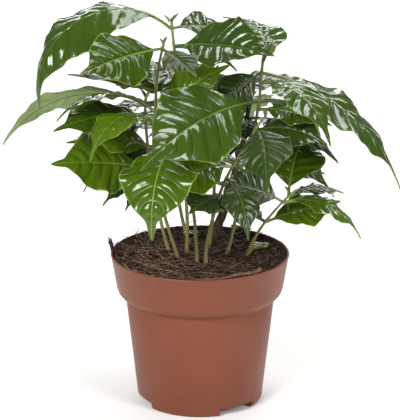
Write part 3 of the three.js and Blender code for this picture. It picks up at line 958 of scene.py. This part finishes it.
leafParts = {"lamina": 0.17, "vein": 0.28, "rib": 0.35, "underside": 0.6}  # with their least roughness
leafTones = {  # a colour for each of these parts, gloss, and the tone's least roughness
    "young": ("#4a640a", "#526c10", "#728826", "#7d9440", 0.5, 0),
    "mid": ("#324906", "#39500a", "#566b22", "#7a9144", 0.5, 0),
    "mature": ("#2b4109", "#30470c", "#4a5f24", "#8a9f60", 0.5, 0),
    "dark": ("#28390e", "#2d3f12", "#435626", "#667a42", 0.42, 0.26),
    "dull": ("#2a3b10", "#2e4013", "#465a28", "#667a42", 0.25, 0.36),
    "fresh": ("#3b5405", "#45600c", "#6b8230", "#7d9440", 0.38, 0),
    "lime": ("#304603", "#3d5608", "#647b2a", "#7a9144", 0.3, 0),
}
toneNames = list(leafTones)


# Coffee leaf: waxed cuticle over a puckered blade gives hard broken gloss, the underside is pale and matt
def leafSurface(name, colour, gloss, roughness):
    wax = {"Base Color": toLinear(colour), "Roughness": roughness, "IOR": 1.55, "Specular IOR Level": gloss}
    grain = {"Strength": 0.35, "Distance": blade["cellDepth"] * mm}
    pucker = {"Strength": 0.22, "Distance": blade["foldDepth"] * mm}
    return newMaterial("coffee leaf " + name, wax, [
        ("cells", "TexNoise", {"Scale": 1 / (blade["cellSize"] * mm), "Detail": 3}, byPlace),
        ("grain", "Bump", grain, {"Height": ("cells", "Fac")}),
        ("folds", "TexNoise", {"Scale": 1 / (blade["foldSize"] * mm), "Detail": 1}, byPlace),
        ("pucker", "Bump", pucker, {"Height": ("folds", "Fac"), "Normal": ("grain", "Normal")}),
    ], {"Normal": ("pucker", "Normal")})


leafSurfaces = []
for tone, (*colours, gloss, roughness) in leafTones.items():
    for (part, least), colour in zip(leafParts.items(), colours):
        leafSurfaces.append(leafSurface(f"{part} {tone}", colour, gloss, max(roughness, least)))


# Rows of the blade from foot to tip: share, bulge, number of the panel, and whether a vein starts at the row
def bladeRows():
    half = blade["veinHalf"]
    panels = blade["veins"] + blade["veinFirst"]
    veins = [(j + blade["veinFirst"]) / panels for j in range(blade["veins"])]
    starts = [0] + [v + half for v in veins]
    ends = [v - half for v in veins] + [1]
    share = list(blade["petioleRows"])
    bulge = [0] * len(share)
    panel = [0] * len(share)
    veinRow = [False] * len(share)
    for number, (start, end) in enumerate(zip(starts, ends)):
        last = number == len(starts) - 1
        t = np.linspace(0, 1, blade["tipRows"] if last else blade["panelRows"])
        height = blade["tipQuilt"] if last else 1
        share.extend(lerp((start, end), t))
        bulge.extend((1 - np.abs(2 * t - 1) ** 2.2) * height)
        panel.extend([number] * len(t))
        veinRow.extend([False] * (len(t) - 1) + [not last])
    return np.array(share)[:, None], np.array(bulge)[:, None], np.array(panel), veinRow


def bladeColumns():
    side = np.array(blade["columns"])
    reach = np.concatenate([side[::-1], [0, 0, 0], side])
    sign = np.concatenate([-np.ones(len(side) + 1), [0], np.ones(len(side) + 1)])
    return reach, sign


# One leaf as a closed sheet: its upper face quilted between arched veins, the midrib standing out below
def bladeMesh(one, chance):
    share, bulge, panel, veinRow = bladeRows()
    reach, sign = bladeColumns()
    arch = blade["veinArch"] * np.sin(np.pi * np.maximum(share, 0))
    q = share + arch * reach ** 1.35
    s = np.clip(lerp((leafRule["petioleShare"], 1), q), 0, 1)
    along, *lines = stationsOf(one, blade["stations"])
    place, across, out = (np.stack([np.interp(s, along, v) for v in line.T], axis=-1) for line in lines)
    outline = leafOutline(s, blade["widestBend"], blade["dripWide"])
    wide = one["wide"] * blade["fuller"]
    fold = math.radians(one["fold"])
    phase = np.where(sign > 0, one["waves"][0], one["waves"][1])
    wave = 2 * np.pi * (leafRule["waves"] * s + phase)
    least = np.where(s < blade["petioleEnd"], leafRule["petioleHalf"], blade["tipHalf"])
    half = np.maximum(least, wide / 2 * outline * (1 + blade["lobes"] * np.cos(wave)))
    rib = np.minimum(lerp(blade["ribHalf"], s), blade["ribMost"] * half)
    wideways = sign * (rib + (half - rib) * reach)
    side = wideways / half
    lamina = np.maximum(0, half - leafRule["petioleHalf"])
    stand = leafRule["waveShare"] * lamina * np.sin(wave) * side ** 2
    stand += lamina * np.abs(side) * math.sin(fold)
    crinkles = np.sin(2 * np.pi * blade["veins"] * q + 5 * phase) * np.abs(side) ** 5
    stand += blade["crinkle"] * lamina * crinkles
    swell = chance.uniform(1 - blade["quiltSpread"], 1 + blade["quiltSpread"], (blade["veins"] + 1, 2))
    swells = np.where(sign > 0, swell[panel, 0][:, None], swell[panel, 1][:, None])
    quilted = (1 - np.exp(-reach / blade["quiltFoot"])) * (1 - blade["quiltFade"] * reach ** 3)
    quilted = quilted * outline * bulge
    stand += lerp(blade["quilt"], q) * wide * swells * quilted
    shift = chance.uniform(0, math.tau, (2, 2))
    for (wavesAcross, slant, wavesAlong), (first, second) in zip(blade["folds"], shift):
        folds = np.sin(2 * np.pi * wavesAcross * reach * sign + slant * q + first)
        stand += blade["pucker"] * wide * folds * np.sin(2 * np.pi * wavesAlong * q + second) * quilted
    channel = np.exp(-(wideways / np.maximum(rib, 0.05)) ** 2)
    stand -= blade["ribChannel"] * np.minimum(1, half / blade["channelFull"]) * channel
    upper = place + across * (wideways * math.cos(fold))[..., None] + out * stand[..., None]
    ribbed = np.exp(-(wideways / (blade["ribSpread"] * rib)) ** 2)
    thick = lerp(blade["thick"], reach) + lerp(blade["ribDepth"], s) * ribbed
    lower = upper - out * thick[..., None]
    points = np.concatenate([upper.reshape(-1, 3), lower.reshape(-1, 3)])
    return points, *sheetFaces(*s.shape, veinRow)


# Faces of a closed sheet of rows and columns, upper points first; kinds are lamina, vein, rib and underside
def sheetFaces(rows, columns, veinRow):
    lamina, vein, rib, underside = range(len(leafParts))
    top = np.arange(rows * columns).reshape(rows, columns)
    low = top + rows * columns
    middle = columns // 2
    pale = (0, middle - 1, middle, columns - 2)  # the margins are as pale as the midrib
    veined = range(blade["veinStop"], columns - 1 - blade["veinStop"])
    faces = []
    kinds = []
    for r in range(rows - 1):
        for c in range(columns - 1):
            faces.append((top[r, c], top[r + 1, c], top[r + 1, c + 1], top[r, c + 1]))
            kinds.append(rib if c in pale else vein if veinRow[r] and c in veined else lamina)
            faces.append((low[r, c], low[r, c + 1], low[r + 1, c + 1], low[r + 1, c]))
            kinds.append(rib if c in pale else underside)
        faces.append((top[r, 0], low[r, 0], low[r + 1, 0], top[r + 1, 0]))
        faces.append((top[r, -1], top[r + 1, -1], low[r + 1, -1], low[r, -1]))
        kinds.extend([rib, rib])
    for c in range(columns - 1):
        faces.append((top[0, c], top[0, c + 1], low[0, c + 1], low[0, c]))
        faces.append((top[-1, c], low[-1, c], low[-1, c + 1], top[-1, c + 1]))
        kinds.extend([rib, lamina])
    return np.array(faces), np.array(kinds)


# A leaf that only the scene draws, with its width as a share of its length
def drawnLeaf(one, base, wide, chance):
    waves = (chance.random(), chance.random())
    return {**one, "base": base, "wide": wide * one["length"], "twist": 0, "waves": waves}


# Small leaves low on a shoot or inside the crown
def smallLeaves(seedling, chance):
    wide = blade["smallWide"]
    return [drawnLeaf(one, stemPlace(seedling, up), wide, chance) for up, one in seedling["small"]]


tipLeaf = {
    "rise": (45, 65), "droop": 25, "length": (5, 8), "fold": 24,
    "wide": 0.34,  # share of the length
    "over": 1,  # above the shoot's tip
}


# Two small unfolding leaves at the tip of a shoot
def tipLeaves(seedling, chance):
    turn = chance.uniform(0, 360)
    base = stemPlace(seedling, seedling["tip"][2] + tipLeaf["over"])
    pair = []
    for half in (0, 180):
        rise = chance.uniform(*tipLeaf["rise"])
        length = chance.uniform(*tipLeaf["length"])
        one = leaf(turn + half, rise, tipLeaf["droop"], length, "mature", fold=tipLeaf["fold"])
        pair.append(drawnLeaf(one, base, tipLeaf["wide"], chance))
    return pair


def makeLeaves(seedling, chance):
    name = seedling["name"]
    own = [one for one in leaves if one["seedling"] == name]
    points = []
    faces = []
    kinds = []
    count = 0
    for one in own + smallLeaves(seedling, chance) + tipLeaves(seedling, chance):
        if one["tone"] == "grown":
            one["tone"] = blade["grownTones"][chance.integers(len(blade["grownTones"]))]
        made, madeFaces, madeKinds = bladeMesh(one, chance)
        points.append(made)
        faces.extend((madeFaces + count).tolist())
        kinds.append(madeKinds + len(leafParts) * toneNames.index(one["tone"]))
        count += len(made)
    kinds = np.concatenate(kinds)
    used = sorted(set(kinds.tolist()))
    materials = [leafSurfaces[k] for k in used]
    piece = pieceFromArrays(np.concatenate(points), faces, materials, np.searchsorted(used, kinds))
    handOver(piece, "blades_" + name, "foliage", "leaves_" + name, smoothTo=60)


leafChance = np.random.default_rng(blade["seed"])
for seedling in seedlings:
    makeLeaves(seedling, leafChance)


# Floor, light and camera

studio = {
    "floorSize": 12,  # metres, as the rest here
    "floorColour": "#f7f7f6",
    "surround": 0.17,
    "lights": [
        {"name": "key softbox", "place": (-0.8, -1.15, 0.95), "size": (0.6, 0.6), "power": 27},
        {"name": "fill softbox", "place": (1.05, -0.95, 0.7), "size": (0.5, 0.7), "power": 14},
        {"name": "top softbox", "place": (0.32, 0.35, 1.2), "size": (1.0, 0.32), "power": 8},
    ],
    "aim": (0, 0, 0.16),
    "backdropLight": {"name": "backdrop softbox", "place": (0, 2.4, 1.3), "size": (3.6, 0.9), "power": 80},
    "cameraPlace": (0, -1.2825, 0.5246),
    "cameraTilt": 73,  # degrees from straight down
    "lens": 171.7,
}


# Paper backdrop: matt and nearly white
def backdropPaper():
    return newMaterial("backdrop paper", {"Base Color": toLinear(studio["floorColour"]), "Roughness": 0.9}, [
        ("tooth", "TexNoise", {"Scale": 1 / (2 * mm), "Detail": 2}, byPlace),
        ("relief", "Bump", {"Strength": 0.05, "Distance": 0.1 * mm}, {"Height": ("tooth", "Fac")}),
    ], {"Normal": ("relief", "Normal")})


def makeStudio():
    deselectAll()
    bpy.ops.mesh.primitive_plane_add(size=studio["floorSize"])
    floor = bpy.context.object
    floor.name = "studio_floor"
    floor.data.materials.append(backdropPaper())
    for light in studio["lights"] + [studio["backdropLight"]]:
        bpy.ops.object.light_add(type="AREA", location=light["place"])
        lamp = bpy.context.object
        lamp.name = light["name"]
        lamp.data.shape = "RECTANGLE"
        lamp.data.size, lamp.data.size_y = light["size"]
        lamp.data.energy = light["power"]
        if light in studio["lights"]:  # the backdrop's own light points straight down
            towards = Vector(studio["aim"]) - Vector(light["place"])
            lamp.rotation_euler = towards.to_track_quat("-Z", "Y").to_euler()
    scene = bpy.context.scene
    scene.world = scene.world or bpy.data.worlds.new("studio")
    scene.world.use_nodes = True
    surround = scene.world.node_tree.nodes["Background"]
    surround.inputs["Color"].default_value = (1, 1, 1, 1)
    surround.inputs["Strength"].default_value = studio["surround"]
    scene.view_settings.view_transform = "Standard"
    tilt = (math.radians(studio["cameraTilt"]), 0, 0)
    bpy.ops.object.camera_add(location=studio["cameraPlace"], rotation=tilt)
    scene.camera = bpy.context.object
    scene.camera.data.lens = studio["lens"]


makeStudio()
print("studio set")
